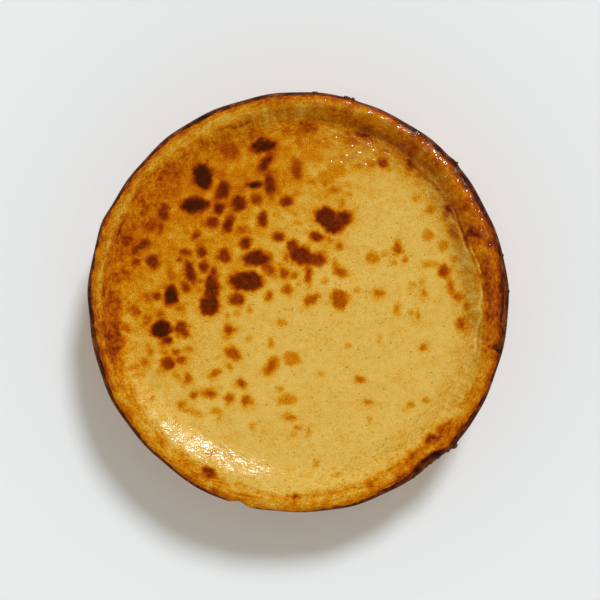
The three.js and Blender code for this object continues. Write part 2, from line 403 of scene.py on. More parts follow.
def polar_mark(first, first_radius, last, last_radius, width):
    """A line mark between two ends given by angle and radius."""
    ends = []
    for way, out in ((first, first_radius), (last, last_radius)):
        ends += [out * math.cos(math.radians(way)), out * math.sin(math.radians(way))]
    return line_mark(*ends, width)


# Cracks and creases in the rim: angle and radius at both ends, depth, width,
# and how much darker the crack is drawn.
CRACKS = [
    (116, 105.0, 109, 101.2, 0.33, 0.6, 0.2), (109, 101.2, 105, 103.0, 0.39, 0.6, 0.25),
    (163, 104.8, 155, 105.0, 0.39, 0.6, 0.2), (190, 109.0, 182, 108.6, 0.33, 0.6, 0.17),
    (207, 110.0, 200, 107.2, 0.26, 0.6, 0.15), (200, 107.2, 200.8, 103.2, 0.2, 0.6, 0.1),
    (71, 97.8, 67, 98.8, 0.45, 0.9, 0.25), (86, 101.6, 79, 100.6, 0.33, 0.8, 0.1),
    (97, 99.6, 91, 100.4, 0.33, 0.8, 0.1), (52, 98.6, 46, 98.0, 0.45, 0.9, 0.15),
    (46, 98.0, 38, 98.6, 0.52, 0.9, 0.12), (33, 97.3, 26, 96.9, 0.59, 0.8, 0.25),
    (28, 98.8, 20, 98.2, 0.52, 0.8, 0.23), (26, 96.9, 17, 97.6, 0.45, 0.8, 0.15),
    (23, 101.8, 20, 103.6, 0.39, 0.9, 0.23), (8, 102.8, -12, 102.7, 0.45, 0.8, 0.07),
    (304, 103.2, 298, 104.2, 0.39, 0.8, 0.17), (298, 104.2, 291, 103.2, 0.33, 0.8, 0.12),
    (316.5, 107.6, 314.6, 103.4, 0.45, 0.9, 0.23), (314.6, 103.4, 311, 102.4, 0.39, 0.8, 0.17),
    (322, 105.4, 318, 102.6, 0.33, 0.8, 0.12), (303, 112.9, 306, 111.2, 2.2, 0.9, 0.6),
    (306, 111.2, 310, 110.4, 2.8, 0.9, 0.6), (310, 110.4, 314, 112.6, 2.4, 0.9, 0.6),
    (257, 109.4, 250, 109.8, 0.45, 0.7, 0.1), (248, 107.2, 243, 108.8, 0.26, 0.7, 0.07),
    (339, 105.0, 337, 101.2, 0.2, 0.6, 0.06),
]

cracked = np.zeros_like(x)
for first, first_radius, last, last_radius, deep, width, dark in CRACKS:
    crack = polar_mark(first, first_radius, last, last_radius, width)
    relief -= deep * crack
    cracked = np.maximum(cracked, dark * crack)

# The side's skin has split from the crest at the upper right: a groove runs
# inside a thin standing edge. Its middle and spread, how far in, how deep and
# how wide it is, and how much darker it is drawn.
SPLIT_AT, SPLIT_SPREAD, SPLIT_IN, SPLIT_DEEP, SPLIT_WIDE, SPLIT_DARKER = 41, 20, 2.4, 1.3, 0.6, 0.45
split = hump(turn(SPLIT_AT, angle), SPLIT_SPREAD)
split_line = split * hump(radius - edge + SPLIT_IN + 0.3 * streaks(6.0, 50.0, 34), SPLIT_WIDE)
relief -= SPLIT_DEEP * split_line
cracked = np.maximum(cracked, SPLIT_DARKER * split_line)

# Lips: at the right the floor's skin ends in thin raised edges, with a gap outside each.
# Angle and radius of both ends. The lips are drawn paler, a painted highlight, and the gaps darker, painted
# shade.
LIPS = [
    (32, 98.6, 26, 97.4), (26, 97.4, 20.5, 96.0), (20.5, 96.0, 16.5, 95.6), (18.2, 98.0, 13, 99.6),
    (13, 99.6, 9, 100.9), (5.5, 99.9, -3, 99.5), (-3, 99.5, -10, 99.3), (-10, 99.3, -15, 100.4),
]
LIP_RISE, LIP_WIDE, LIP_HIGHLIGHT = 0.25, 0.6, 0.25
LIP_GAP, LIP_GAP_DEEP, LIP_GAP_SHADE = 1.2, 0.6, 0.16
lip = np.zeros_like(x)
for first, first_radius, last, last_radius in LIPS:
    lip = np.maximum(lip, polar_mark(first, first_radius, last, last_radius, LIP_WIDE))
    gap = polar_mark(first, first_radius + LIP_GAP, last, last_radius + LIP_GAP, LIP_WIDE)
    relief -= LIP_GAP_DEEP * gap
    cracked = np.maximum(cracked, LIP_GAP_SHADE * gap)
relief += LIP_RISE * lip
height = height + np.where(on_top, relief, 0)

# Browning: 0 is pale custard, 0.5 orange, 1 scorched black. It is strongest
# at the upper left, where the oven was hottest. The slope at the right is made a little
# browner too, most so in its upper part: partly browning, partly painted shade where that slope faces away
# from the light.
LEAST_BROWN, FLOOR_PALE, FLOOR_BROWN = 0.03, 0.145, 0.5
PALE_UNTIL, BROWN_FROM = -12, 108
SLOPE_BROWN_AND_SHADE_LOW, SLOPE_BROWN_AND_SHADE_HIGH = 0.07, 0.13
MOTTLE_COARSE, MOTTLE_FINE = 11.0, 4.2

# The marks' outlines are ragged, and each mark's place wanders a little.
wander_x = 1.0 * lumps(flat, 6.0, 6) + 0.8 * lumps(flat, 2.5, 7)
wander_y = 1.0 * lumps(flat, 6.0, 8) + 0.8 * lumps(flat, 2.5, 9)
ragged = 0.7 * lumps(flat, 3.4, 10) + 0.3 * lumps(flat, 1.6, 11)


def upper_left(place_x, place_y):
    """How far a place lies from the middle towards the upper left."""
    return 0.74 * place_y - 0.67 * place_x


away = upper_left(x, y) + 9 * lumps(flat, 30.0, 12)
browning = blend(FLOOR_PALE, FLOOR_BROWN, smooth(away, PALE_UNTIL, BROWN_FROM))
# Partly painted shade: the right slope faces away from the light.
right_slope = smooth(radius, 84, 98) * smooth(x, 10, 60)
browning += blend(SLOPE_BROWN_AND_SHADE_LOW, SLOPE_BROWN_AND_SHADE_HIGH, smooth(y, -60, 10)) * right_slope
mottled = smooth(browning, 0.14, 0.36)
browning += blend(0.05, 0.11, mottled) * lumps(flat, MOTTLE_COARSE, 13)
browning += blend(0.05, 0.16, mottled) * lumps(flat, MOTTLE_FINE, 14)
browning = np.clip(browning, LEAST_BROWN, 1)

# The rim's own browning by angle: where the pale floor ends and how softly, how
# brown the inner face is, where the crest's colour starts and how brown it is,
# how wide the dark skin of the side shows beside it from above, and how much
# browner the crest gets next to that skin.
BROWN_ANGLE = [0, 20, 35, 50, 68, 90, 115, 140, 165, 180, 192, 205, 225, 245, 265, 285, 300, 320, 340]
BORDER = [
    100.8, 97.0, 97.2, 96.5, 97.5, 100.5, 97.0, 96.0, 97.5, 98.0, 98.5, 102.0, 103.0, 104.0, 105.4,
    103.5, 103.4, 104.2, 103.6,
]
BORDER_SOFT = [
    0.5, 0.6, 1.5, 3.0, 3.5, 2.5, 4.0, 4.0, 3.5, 3.0, 2.5, 4.0, 4.0, 3.0, 1.6, 3.0, 0.6, 0.5, 0.8,
]
WALL_BROWN = [
    0.52, 0.48, 0.49, 0.51, 0.51, 0.41, 0.44, 0.58, 0.56, 0.62, 0.70, 0.45, 0.34, 0.37, 0.40, 0.40,
    0.45, 0.34, 0.38,
]
CREST_FROM = [
    102.6, 102.4, 103.8, 105.5, 107.4, 107.0, 104.8, 106.6, 107.0, 107.0, 108.6, 107.0, 105.0,
    105.5, 106.5, 106.4, 106.4, 105.5, 104.6,
]
CREST_BROWN = [
    0.70, 0.51, 0.55, 0.56, 0.51, 0.42, 0.34, 0.36, 0.39, 0.36, 0.43, 0.40, 0.40, 0.43, 0.34, 0.37,
    0.49, 0.42, 0.46,
]
SKIN_WIDE = [
    3.3, 2.4, 3.2, 2.9, 1.3, 2.4, 2.9, 2.3, 1.6, 2.8, 3.2, 2.4, 1.9, 1.6, 0.5, 1.9, 3.0, 3.2, 2.0,
]
EDGE_BROWN = [
    0.28, 0.18, 0.26, 0.24, 0.18, 0.25, 0.25, 0.25, 0.22, 0.28, 0.32, 0.2, 0.22, 0.2, 0.16, 0.26,
    0.22, 0.32, 0.2,
]
rim_mottle = 0.12 * lumps(flat, 6.0, 15) + 0.08 * streaks(9.0, 2.4, 16) + 0.08 * streaks(4.0, 1.4, 17)
wall_brown = by_angle(angle, BROWN_ANGLE, WALL_BROWN) + rim_mottle
crest_brown = by_angle(angle, BROWN_ANGLE, CREST_BROWN) + 1.2 * rim_mottle
border = by_angle(angle, BROWN_ANGLE, BORDER)
softness = by_angle(angle, BROWN_ANGLE, BORDER_SOFT)
waver = (0.5 + 0.3 * softness) * (1.4 * lumps(flat, 6.0, 18) + 0.9 * lumps(flat, 2.4, 19))
in_wall = smooth(radius + waver, border - softness, border + softness)
crest_from = by_angle(angle, BROWN_ANGLE, CREST_FROM)
crest_waver = 0.9 * lumps(flat, 5.0, 20) + 0.7 * streaks(5.0, 1.6, 43)
in_crest = smooth(radius + crest_waver, crest_from - 1.1, crest_from + 0.9)
browning = blend(blend(browning, wall_brown, in_wall), crest_brown, in_crest)

# Painted shade: the inner face is made browner in three stretches, where it lies in shade;
# the last is partly real browning too. How much, then angle, spread, radius and reach.
# What is wet looks a little browner too.
BROWN_AND_SHADE_SPOTS = [(0.06, 60, 22, 103.6, 1.8), (0.07, 16, 12, 94.5, 4), (0.08, 31, 16, 88, 5)]
WET_BROWNER = 0.03
for more, *spot in BROWN_AND_SHADE_SPOTS:
    browning += more * rim_spot(*spot)
browning += WET_BROWNER * np.clip(wet, 0, 1)

# Scorch marks: place, width, height, tilt, and how dark. A mark fades out
# from inside its outline to outside it, and the darker ones have a faint halo.
SCORCH_MARKS = [
    (-52.3, 68.8, 9.8, 14.7, 10, 1.06), (-56.7, 53.5, 14.1, 8.2, 0, 1.06),
    (-73.5, 49.7, 4.9, 7.6, 15, 0.88), (-41.5, 61.7, 7.6, 10.9, -25, 0.93),
    (-43.6, 51.4, 5.6, 6.7, 0, 0.98), (-46.9, 43.7, 6.0, 6.0, 0, 0.87),
    (-37.1, 83.4, 9.8, 8.7, 0, 0.72), (-19.1, 85.6, 13.5, 7.4, 5, 1.02),
    (-25.1, 90.5, 4.0, 3.0, 0, 0.72), (-18.1, 76.4, 11.5, 5.2, 55, 0.94),
    (-15.9, 65.0, 5.4, 14.1, 8, 0.91), (-24.0, 64.4, 6.2, 3.4, 10, 1.25),
    (-0.7, 72.0, 5.2, 10.4, 8, 0.8), (-32.7, 54.1, 8.2, 8.7, 0, 0.94), (-22.4, 56.2, 5.4, 5.4, 0, 0.8),
    (-6.6, 55.2, 7.1, 6.5, 0, 0.86), (-19.7, 44.8, 5.6, 8.0, 0, 0.86),
    (14.8, 47.0, 12.0, 10.5, 0, 0.97), (24.6, 46.0, 10.5, 8.5, 0, 0.92),
    (19.4, 42.0, 11.0, 8.0, 0, 0.96), (-30.6, 39.6, 4.0, 4.0, 0, 0.66),
    (-38.5, 42.5, 4.8, 9.5, -22, 0.96), (-56.1, 36.7, 4.9, 4.9, 0, 0.82),
    (-28.9, 32.3, 6.0, 6.5, 0, 0.9), (-11.0, 36.1, 6.5, 4.9, 0, 0.86), (10.2, 35.6, 7.6, 6.0, 0, 0.88),
    (-23.0, 24.2, 14.1, 9.2, 0, 0.95), (-16.4, 18.7, 9.0, 5.0, -50, 0.76),
    (-28.6, 11.6, 19.0, 10.9, 0, 0.95), (-33.8, 1.8, 8.2, 7.0, 0, 0.82),
    (1.6, 25.4, 12.5, 10.5, -30, 0.93), (-3.0, 31.0, 6.5, 6.5, 0, 0.86),
    (9.0, 23.3, 12.0, 8.0, 0, 0.84), (5.3, 15.0, 4.0, 9.0, 0, 0.78), (14.0, 27.0, 4.0, 4.5, 0, 0.6),
    (-40.4, 25.8, 7.0, 7.0, 0, 0.84), (-52.9, 28.0, 5.4, 6.0, 0, 0.87),
    (-51.8, 19.8, 4.9, 6.5, 0, 0.88), (-62.1, 27.4, 5.4, 4.4, 0, 0.82),
    (-65.4, 23.6, 3.3, 3.3, 0, 0.76), (-59.4, 16.0, 13.0, 5.4, -73, 0.93),
    (-61.6, 8.4, 4.4, 4.9, 0, 0.86), (-48.5, -1.4, 10.9, 12.0, 0, 0.94),
    (-47.4, 9.5, 7.0, 13.0, 0, 0.93), (-48.0, 4.0, 8.5, 9.0, 0, 0.92), (-46.3, 16.0, 4.0, 6.0, 0, 0.86),
    (-69.7, 4.0, 7.6, 10.9, 0, 1.04), (-77.9, 4.0, 4.9, 4.9, 0, 0.86), (-82.3, 3.0, 4.0, 4.0, 0, 0.66),
    (-75.2, -14.5, 10.9, 10.4, 0, 1.06), (-71.9, -20.5, 5.0, 5.0, 0, 0.94),
    (-75.7, -6.9, 4.0, 5.0, 0, 0.7), (-64.3, -13.4, 7.6, 6.5, 0, 0.84),
    (-62.1, -16.7, 5.0, 5.0, 0, 0.78), (-79.5, 22.5, 7.1, 7.6, 0, 0.9),
    (-85.5, 31.2, 8.2, 4.9, 20, 0.87), (-89.3, 28.0, 4.5, 3.5, 0, 0.82),
    (-89.3, 22.0, 4.4, 4.4, 0, 0.83), (-93.7, 33.9, 4.4, 6.5, 0, 0.82),
    (-80.1, 41.6, 5.0, 4.5, 0, 0.78), (-75.2, 41.0, 4.0, 5.0, 0, 0.78),
    (-88.8, -5.2, 3.3, 4.4, 0, 0.78), (-95.3, -13.4, 4.0, 4.0, 0, 0.7),
    (-98.6, -21.0, 3.8, 4.9, 0, 0.78), (-38.2, -15.6, 5.4, 5.4, 0, 0.74),
    (-71.4, -33.5, 8.0, 7.4, 0, 0.82), (-63.8, -31.9, 4.9, 4.9, 0, 0.76),
    (-67.0, -27.5, 3.8, 3.8, 0, 0.72), (-35.9, -28.0, 9.6, 6.6, -42, 0.69),
    (-37.5, -35.2, 3.6, 5.0, 0, 0.56), (-60.5, -41.7, 4.5, 4.5, 0, 0.66),
    (-45.8, -39.5, 6.4, 3.8, 25, 0.66), (-49.1, -49.8, 7.6, 4.4, 0, 0.73),
    (-57.2, -50.9, 4.4, 4.4, 0, 0.7), (-37.6, -52.6, 4.9, 4.9, 0, 0.64),
    (-31.7, -44.4, 6.0, 4.2, -45, 0.74), (-28.4, -54.2, 5.6, 4.6, 0, 0.67),
    (-66.5, -40.5, 9.0, 3.6, -50, 0.48), (-6.6, -53.6, 9.8, 6.5, 0, 0.53),
    (-10.4, -47.7, 3.0, 3.0, 0, 0.5), (-58.9, -59.6, 11.0, 3.0, -15, 0.54),
    (-44.2, -59.6, 6.0, 4.0, 0, 0.5), (-14.6, -34.8, 9.4, 5.8, 42, 0.66),
    (-3.4, -30.8, 8.7, 8.2, 0, 0.54), (7.5, 1.3, 8.2, 4.9, 30, 0.68), (22.7, 1.8, 9.4, 10.4, 20, 0.68),
    (22.7, 17.1, 7.4, 4.6, -35, 0.7), (22.7, 30.7, 4.4, 3.8, 0, 0.66), (-7.7, 16.0, 5.4, 4.9, 0, 0.74),
    (-2.8, 14.9, 3.5, 3.5, 0, 0.64), (-6.1, 6.7, 4.9, 4.9, 0, 0.68), (-15.9, 3.5, 4.4, 4.4, 0, 0.68),
    (40.7, 24.7, 6.5, 7.6, 0, 0.55), (54.3, 30.1, 4.6, 7.4, 0, 0.68), (79.9, 17.1, 6.2, 7.4, 0, 0.75),
    (72.2, 20.9, 8.7, 3.3, 10, 0.52), (83.7, 8.4, 3.3, 8.7, 15, 0.62), (88.0, 2.9, 4.9, 4.4, 0, 0.64),
    (92.4, -2.0, 2.7, 3.3, 0, 0.68), (89.7, -11.8, 4.9, 7.0, 0, 0.7), (62.5, 8.9, 5.0, 5.0, 0, 0.42),
    (68.4, 11.6, 4.5, 4.5, 0, 0.42), (61.9, -5.8, 3.5, 3.5, 0, 0.42), (52.1, 22.0, 4.0, 4.0, 0, 0.42),
    (72.2, 51.4, 5.0, 5.0, 0, 0.58), (64.1, 56.8, 4.5, 4.5, 0, 0.52), (71.2, 37.2, 6.0, 6.0, 0, 0.52),
    (79.3, 30.7, 6.0, 6.0, 0, 0.54), (85.8, 23.6, 4.0, 4.0, 0, 0.52), (46.8, 76.9, 5.4, 6.0, 0, 0.8),
    (91.6, 52.1, 5.0, 5.0, 0, 0.74), (35.1, 92.7, 6.0, 2.6, -10, 0.68),
    (29.6, 89.0, 6.0, 3.6, -20, 0.66), (5.3, 95.4, 9.0, 5.0, 0, 0.72), (15.1, 68.8, 9.0, 8.0, 0, 0.52),
    (21.7, 72.6, 9.0, 8.0, 0, 0.52), (8.0, 80.5, 14.0, 7.0, 0, 0.53),
    (14.5, 87.5, 11.0, 5.5, -10, 0.54), (-6.5, 82.0, 8.0, 7.0, 0, 0.54),
    (-67.6, 71.5, 5.0, 5.0, 0, 0.68), (-69.7, 60.1, 6.0, 5.0, 0, 0.62),
    (-82.3, 63.9, 11.0, 16.0, 0, 0.56), (21.1, -94.4, 4.0, 2.5, 0, 0.5),
    (-65.1, -2.7, 3.5, 2.2, 0, 0.72), (-100.2, -0.9, 5.0, 7.0, 0, 0.74),
    (-70.3, 16.0, 4.0, 5.0, 0, 0.64), (-94.6, 16.6, 5.0, 4.0, 0, 0.7), (61.0, 75.2, 3.0, 6.0, 30, 0.78),
    (85.3, 38.0, 3.4, 7.0, 20, 0.62), (81.6, 50.0, 2.2, 3.4, -20, 0.85),
    (93.7, 38.8, 2.6, 3.2, -20, 0.86), (98.6, 36.6, 4.5, 4.5, 60, 0.76),
    (103.7, 32.2, 3.0, 3.0, 0, 0.85), (101.5, 14.8, 3.0, 2.4, 0, 0.85),
    (79.3, -68.9, 8.0, 5.0, 35, 0.66), (72.8, -74.8, 8.0, 5.0, 30, 0.7),
    (62.5, -83.0, 7.0, 3.5, 35, 0.66), (-48.5, -92.8, 7.0, 4.6, -35, 0.88),
    (-1.2, -106.4, 3.0, 2.6, 0, 0.74),
]
MARK_FADE = 0.87
EDGE_OUTSIDE, EDGE_INSIDE = 1.9, -1.6
HALO_BROWN, HALO_OUTSIDE, HALO_INSIDE, HALO_ROUND_DARKER = 0.07, 5.0, 0.5, 0.6


def scorch(place_x, place_y, wide, tall, tilt, dark):
    """How much one mark adds: dark inside, fading out across a soft ragged edge."""
    distance = oval(place_x + wander_x, place_y + wander_y, wide, tall, tilt)
    outside = (distance - 1) * min(wide, tall) / 2 + ragged
    darker = np.clip(dark * MARK_FADE - browning, 0, 1)
    halo = HALO_BROWN * smooth(outside, HALO_OUTSIDE, HALO_INSIDE) * (dark > HALO_ROUND_DARKER)
    return darker * smooth(outside, EDGE_OUTSIDE, EDGE_INSIDE) + halo


marks = np.zeros_like(x)
for mark in SCORCH_MARKS:
    marks = np.maximum(marks, scorch(*mark))

# Between them are small faint freckles, more of them towards the upper left.
FRECKLES, FRECKLED_RADIUS, FEWEST_FRECKLES = 420, 98, 0.15
random.seed(11)
freckles = np.zeros_like(x)
for _ in range(FRECKLES):
    way = random.uniform(0, 2 * math.pi)
    out = FRECKLED_RADIUS * math.sqrt(random.random())
    place_x, place_y = out * math.cos(way), out * math.sin(way)
    likely = blend(FEWEST_FRECKLES, 1, float(smooth(upper_left(place_x, place_y), -20, 50)))
    size = random.uniform(1.6, 4.2)
    shape = random.uniform(0.7, 1.4)
    tone = random.uniform(0.4, 0.66)
    if random.random() < likely:
        freckles = np.maximum(freckles, scorch(place_x, place_y, size * shape, size / shape, 0, tone))
browning = np.maximum(browning + np.maximum(marks, freckles), LEAST_BROWN)
# The lips are drawn paler as a painted highlight. The cracks and the split are drawn darker, and so are the
# lips' gaps, as painted shade.
browning = browning - LIP_HIGHLIGHT * lip + cracked

# Painted shade: the skin's colour is darkened on the inner face under the overhanging
# brow, where the brow's shadow falls, and on the inner face at the top, which lies in shade.
# It is also darkened somewhat on the crest at the left and the right: how dark, then angle, spread, radius
# and reach.
UNDER_BROW_AT, UNDER_BROW_SPREAD, UNDER_BROW_IN, UNDER_BROW_REACH = 32, 36, 6, 5.0
SHADE_AND_DARKENING_SPOTS = [(0.45, 92, 22, 103.5, 3.5), (0.4, 165, 42, 108.5, 3.5), (0.35, -5, 28, 105, 4.5)]
dull = hump(turn(UNDER_BROW_AT, angle), UNDER_BROW_SPREAD)
dull = dull * hump(radius - brow + UNDER_BROW_IN, UNDER_BROW_REACH)
for how_dark, *spot in SHADE_AND_DARKENING_SPOTS:
    dull = np.maximum(dull, how_dark * rim_spot(*spot))

# The side's skin: nearly black at the rim, lighter and blotched lower down,
# and darker again at its foot. At some angles it comes further over the rim, at
# one less far: angle, spread, and how much further.
SKIN_CHANGES = [(-13, 0.8, 3.6), (-12, 1.6, 1.6), (308, 5.0, 0.8), (161, 2.0, 0.6), (253, 3.5, -1.6)]
CHAR_DARK_TO, CHAR_PALE_FROM = 4, 12
skin_wide = by_angle(angle, BROWN_ANGLE, SKIN_WIDE)
for at, spread, more in SKIN_CHANGES:
    skin_wide = skin_wide + more * hump(turn(at, angle), spread)
skin_edge = edge - skin_wide + 0.5 * lumps(flat, 2.6, 21) + 0.5 * streaks(5.0, 1.5, 22)
skin = np.where(on_top, smooth(radius, skin_edge - 0.6, skin_edge + 0.7), 0)
edge_brown = by_angle(angle, BROWN_ANGLE, EDGE_BROWN)
near_skin = smooth(radius + 0.8 * lumps(flat, 4.0, 36), skin_edge - 3.8, skin_edge + 0.3)
browning = browning + edge_brown * near_skin
skin = np.where(on_side | (zone == "base"), 1.0, skin)
round_side = np.stack([x, y, height * 0.5], axis=1)
below_rim = rim_at(angle, "high") - height
side_lumps = lumps(round_side, 8.0, 23)
side_spots = lumps(round_side, 3.2, 24)
char = 0.4 + 0.4 * smooth(below_rim + 3.5 * side_lumps, CHAR_PALE_FROM, CHAR_DARK_TO)
char += 0.2 * streaks(7.0, 1.1, 37) + 0.2 * side_lumps + 0.16 * side_spots + 0.25 * smooth(height, 5, 0)
side_rough = 0.35 * side_lumps + 0.22 * lumps(round_side, 2.6, 25)
radius = radius + np.where(on_side, side_rough * smooth(height, 0.5, 6), 0)
torn = hump(turn(BARE_AT, angle), BARE_SPREAD) * (on_corner | (on_side & (below_rim < BARE_DOWN)))
torn_lumps = 0.9 * lumps(round_side, 2.2, 26)
radius = radius + torn * torn_lumps * 0.6
height = height + torn * torn_lumps * on_corner

cake_points = np.stack([radius * along_x, radius * along_y, np.maximum(height, 0)], axis=1) * MM
cake_mesh = bpy.data.meshes.new("cheesecake_skin")
cake_mesh.from_pydata(cake_points.tolist(), [], faces.tolist())
cake_mesh.shade_smooth()
layers = {"browning": browning, "side_skin": skin, "char": char, "wet": wet, "dull": dull}
for name, values in layers.items():
    layer = cake_mesh.attributes.new(name, "FLOAT", "POINT")
    layer.data.foreach_set("value", np.clip(values, 0, 1).astype(np.float32))
cake = bpy.data.objects.new("cheesecake_skin", cake_mesh)
bpy.context.scene.collection.objects.link(cake)


class Socket:
    """A node's output in a material. Arithmetic on sockets adds Math nodes."""

    def __init__(self, tree, output=None):
        self.tree = tree
        self.output = output

    def node(self, kind, settings, inputs, output=0):
        """Adds a node: first its settings, then its sockets' values and links."""
        added = self.tree.nodes.new(kind)
        for name, value in settings.items():
            if name == "stops":
                set_stops(added.color_ramp, value)
            else:
                setattr(added, name, value)
        for name, value in inputs.items():
            if isinstance(value, Socket):
                self.tree.links.new(value.output, added.inputs[name])
            else:
                added.inputs[name].default_value = value
        return Socket(self.tree, added.outputs[output] if added.outputs else None)

    def other(self, output):
        """Another output of the same node."""
        return Socket(self.tree, self.output.node.outputs[output])

    def math(self, operation, first, second=0.0):
        return self.node("ShaderNodeMath", {"operation": operation}, {0: first, 1: second})

    def vector(self, operation, inputs, output=0):
        return self.node("ShaderNodeVectorMath", {"operation": operation}, inputs, output)

    def __add__(self, other):
        return self.math("ADD", self, other)

    def __radd__(self, other):
        return self.math("ADD", other, self)

    def __sub__(self, other):
        return self.math("SUBTRACT", self, other)

    def __rsub__(self, other):
        return self.math("SUBTRACT", other, self)

    def __mul__(self, other):
        return self.math("MULTIPLY", self, other)

    def __rmul__(self, other):
        return self.math("MULTIPLY", other, self)


def set_stops(ramp, stops):
    while len(ramp.elements) < len(stops):
        ramp.elements.new(1.0)
    for element, (place, colour) in zip(ramp.elements, stops):
        element.position = place
        element.color = (*colour, 1.0)


def srgb(red, green, blue):
    """A colour read on a screen, 0 to 255, as Blender's linear values."""
    def linear(share):
        return share / 12.92 if share <= 0.04045 else ((share + 0.055) / 1.055) ** 2.4
    return tuple(linear(value / 255) for value in (red, green, blue))


def new_material(name):
    material = bpy.data.materials.new(name)
    material.use_nodes = True
    material.node_tree.nodes.clear()
    return material, Socket(material.node_tree)


def noise_of(tree, place, size, detail=2.0, roughness=0.5):
    """Blender's noise, 0 to 1, with features of a size in millimetres."""
    inputs = {"Vector": place, "Scale": 1 / (size * MM), "Detail": detail, "Roughness": roughness}
    return tree.node("ShaderNodeTexNoise", {}, inputs)


def step_of(tree, value, low, high):
    """0 below low, 1 above high, and smooth between."""
    settings = {"interpolation_type": "SMOOTHSTEP"}
    return tree.node("ShaderNodeMapRange", settings, {"Value": value, "From Min": low, "From Max": high})


def mix_colour(tree, share, first, second):
    inputs = {0: share, 6: first, 7: second}
    return tree.node("ShaderNodeMix", {"data_type": "RGBA"}, inputs, output=2)


def attribute(tree, name):
    return tree.node("ShaderNodeAttribute", {"attribute_name": name}, {}, output="Fac")


def around_cake(tree, place, stretch):
    """A place given as the way round the cake, shortened by stretch, and across."""
    flat_place = tree.vector("MULTIPLY", {0: place, 1: (1, 1, 0)})
    way_round = tree.vector("SCALE", {
        0: tree.vector("NORMALIZE", {0: flat_place}),
        "Scale": CAKE_RADIUS * MM / stretch,
    })
    reach = tree.vector("LENGTH", {0: flat_place}, output="Value")
    up = tree.node("ShaderNodeSeparateXYZ", {}, {0: place}, output="Z")
    across = tree.node("ShaderNodeCombineXYZ", {}, {"Z": reach - up})
    return tree.vector("ADD", {0: way_round, 1: across}), reach


def specks(tree, place, spacing, reach, chance):
    """Round specks: their spacing and reach in millimetres, and how many cells hold one."""
    cells = tree.node("ShaderNodeTexVoronoi", {}, {"Vector": place, "Scale": 1 / (spacing * MM)})
    draw = tree.node("ShaderNodeSeparateColor", {}, {0: cells.other("Color")})
    dot = step_of(tree, cells, reach / spacing, 0.4 * reach / spacing)
    return dot * tree.math("LESS_THAN", draw, chance)


# The custard's colour by how brown it is, with the dark tone of the painted shade and darkening,
# of faint grey smudges and of dark flecks, and how strongly each is mixed in.
CUSTARD_COLOURS = [
    (0.00, srgb(226, 189, 94)),
    (0.15, srgb(219, 177, 80)),
    (0.30, srgb(210, 153, 39)),
    (0.37, srgb(205, 138, 12)),
    (0.45, srgb(199, 122, 0)),
    (0.56, srgb(185, 98, 0)),
    (0.68, srgb(162, 71, 0)),
    (0.80, srgb(129, 46, 0)),
    (0.90, srgb(95, 31, 0)),
    (1.00, srgb(61, 22, 0)),
]
SHADE_AND_DARKENING_TONE, SHADE_AND_DARKENING_SHARE = (*srgb(62, 40, 44), 1), 0.27
SMUDGE_TONE, SMUDGE_SHARE = (*srgb(120, 110, 92), 1), 0.3
FLECK_TONE, FLECK_SHARE = (*srgb(70, 42, 22), 1), 0.6

# The side skin's colour by how charred it is.
CHAR_COLOURS = [
    (0.10, srgb(222, 172, 104)),
    (0.30, srgb(196, 132, 66)),
    (0.50, srgb(158, 92, 38)),
    (0.70, srgb(104, 50, 18)),
    (0.86, srgb(68, 28, 10)),
    (1.00, srgb(36, 17, 9)),
]

# The skin's three finishes: dry, moist with fat, and the beads of fat that
# glitter. Then the bumps' height in millimetres, and how far out the looks of
# the rim and of the crest start and are full.
DRY = {"Roughness": 0.42, "IOR": 1.4, "Specular IOR Level": 0.04}
MOIST = {"Roughness": 0.26, "IOR": 1.5, "Specular IOR Level": 0.8, "Specular Tint": (1.0, 1.0, 0.98, 1)}
BEADS = {"Roughness": 0.12, "IOR": 1.8, "Specular IOR Level": 1.0, "Specular Tint": (1.0, 0.95, 0.82, 1)}
BUMP_HEIGHT = 0.4
RIM_STARTS, RIM_FULL = 82 * MM, 100 * MM
CREST_STARTS, CREST_FULL = 104 * MM, 109 * MM


def custard_colour(tree, place, fine, drawn, on_rim):
    """Pale custard to scorched brown, with fine noise, painted shade, smudges and flecks."""
    brown = attribute(tree, "browning")
    mottle = noise_of(tree, place, 3.2, 3.0, 0.55)
    fine_share = 0.7 - step_of(tree, brown, 0.45, 0.8) * 0.45
    level = brown + (fine - 0.5) * fine_share + (mottle - 0.5) * 0.28 + (drawn - 0.5) * on_rim * 0.62
    custard = tree.node("ShaderNodeValToRGB", {"stops": CUSTARD_COLOURS}, {0: level})
    # Painted shade under the brow and at the top, and a darker tone on the crest at the left and the right.
    custard = mix_colour(tree, attribute(tree, "dull") * SHADE_AND_DARKENING_SHARE, custard, SHADE_AND_DARKENING_TONE)
    smudges = specks(tree, place, 6.5, 1.3, 0.45)
    on_pale = 1 - step_of(tree, brown, 0.2, 0.4)
    custard = mix_colour(tree, smudges * on_pale * SMUDGE_SHARE, custard, SMUDGE_TONE)
    flecks = specks(tree, place, 3.6, 0.6, 0.45)
    return mix_colour(tree, flecks * FLECK_SHARE, custard, FLECK_TONE)


def char_colour(tree, fine, drawn):
    """The side's skin, from bare custard to nearly black."""
    level = attribute(tree, "char") + (fine - 0.5) * 0.35 + (drawn - 0.5) * 0.6
    return tree.node("ShaderNodeValToRGB", {"stops": CHAR_COLOURS}, {0: level})


